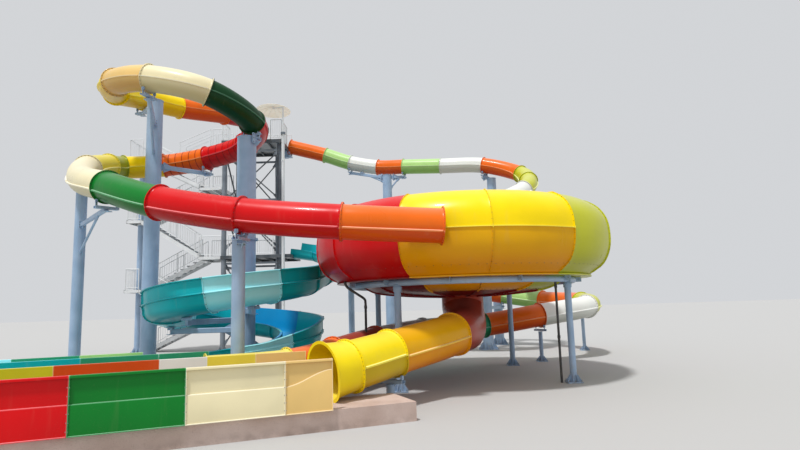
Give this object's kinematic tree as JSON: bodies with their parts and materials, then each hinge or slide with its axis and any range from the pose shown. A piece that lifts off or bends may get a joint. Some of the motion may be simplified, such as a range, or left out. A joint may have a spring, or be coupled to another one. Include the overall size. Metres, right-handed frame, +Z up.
{
  "type": "water slide tower",
  "caption": "Fairground water slide tower: a braced stair tower feeds a looping tube slide into a raised bowl, a second tube slide and an open spiral flume, all ending in run-out lanes.",
  "frame": {"origin": "underside of the base plate of the tower's front right column, at ground level", "axes": "+Z up, +Y away from the run-out lanes towards the tower's back, +X towards the bowl's side"},
  "size_m": [23.0188, 25.6954, 13.3513],
  "materials": {
    "grp_green": "glossy dark green moulded glass fibre",
    "grp_red": "glossy red moulded glass fibre",
    "grp_orange": "glossy orange moulded glass fibre",
    "grp_yellow": "glossy yellow moulded glass fibre",
    "grp_lime": "glossy lime moulded glass fibre",
    "grp_cream": "glossy cream moulded glass fibre",
    "grp_white": "glossy white moulded glass fibre",
    "grp_cyan": "glossy turquoise moulded glass fibre",
    "post_paint": "light grey-blue paint",
    "rail_paint": "white paint",
    "tower_paint": "grey paint",
    "shade_white": "off-white moulded shell",
    "plinth_paint": null
  },
  "bodies": {
    "root": {"bowl_dish": "grp_red", "bowl_frame": "post_paint", "bowl_wall_1": "grp_yellow", "bowl_wall_2": "grp_lime", "bowl_wall_3": "grp_red", "bowl_wall_4": "grp_yellow", "bowl_wall_5": "grp_orange", "bowl_wall_6": "grp_red", "exit_elbow": "grp_orange", "exit_tube": "grp_yellow", "mid_platform": "rail_paint", "plinth_far": "plinth_paint", "plinth_near": "plinth_paint", "post_a_1": "post_paint", "post_a_2": "post_paint", "post_a_3": "post_paint", "post_a_4": "post_paint", "post_b_1": "post_paint", "post_b_2": "post_paint", "post_b_3": "post_paint", "post_c_1": "post_paint", "runout_far": "grp_green", "runout_middle": "grp_cyan", "runout_near": "grp_red", "slide_a_0": "grp_red", "slide_a_1": "grp_red", "slide_a_2": "grp_cream", "slide_a_3": "grp_green", "slide_a_4": "grp_yellow", "slide_a_5": "grp_red", "slide_a_6": "grp_orange", "slide_b_0": "grp_orange", "slide_b_1": "grp_orange", "slide_b_2": "grp_white", "slide_b_3": "grp_lime", "slide_b_4": "grp_white", "slide_b_5": "grp_orange", "slide_b_6": "grp_orange", "slide_b_7": "grp_orange", "slide_c_1": "grp_cyan", "slide_c_2": "grp_cyan", "slide_c_3": "grp_cyan", "slide_c_4": "grp_cyan", "stair_1": "rail_paint", "stair_2": "rail_paint", "stair_3": "rail_paint", "stair_4": "rail_paint", "stair_5": "rail_paint", "stair_6": "rail_paint", "stair_7": "rail_paint", "stair_column": "post_paint", "sun_shade": "shade_white", "top_platform": "rail_paint", "tower_back": "tower_paint", "tower_front": "tower_paint", "trestle_b_1": "post_paint", "trestle_b_2": "post_paint", "trestle_b_3": "post_paint", "trestle_exit": "post_paint"}
  },
  "joints": []
}
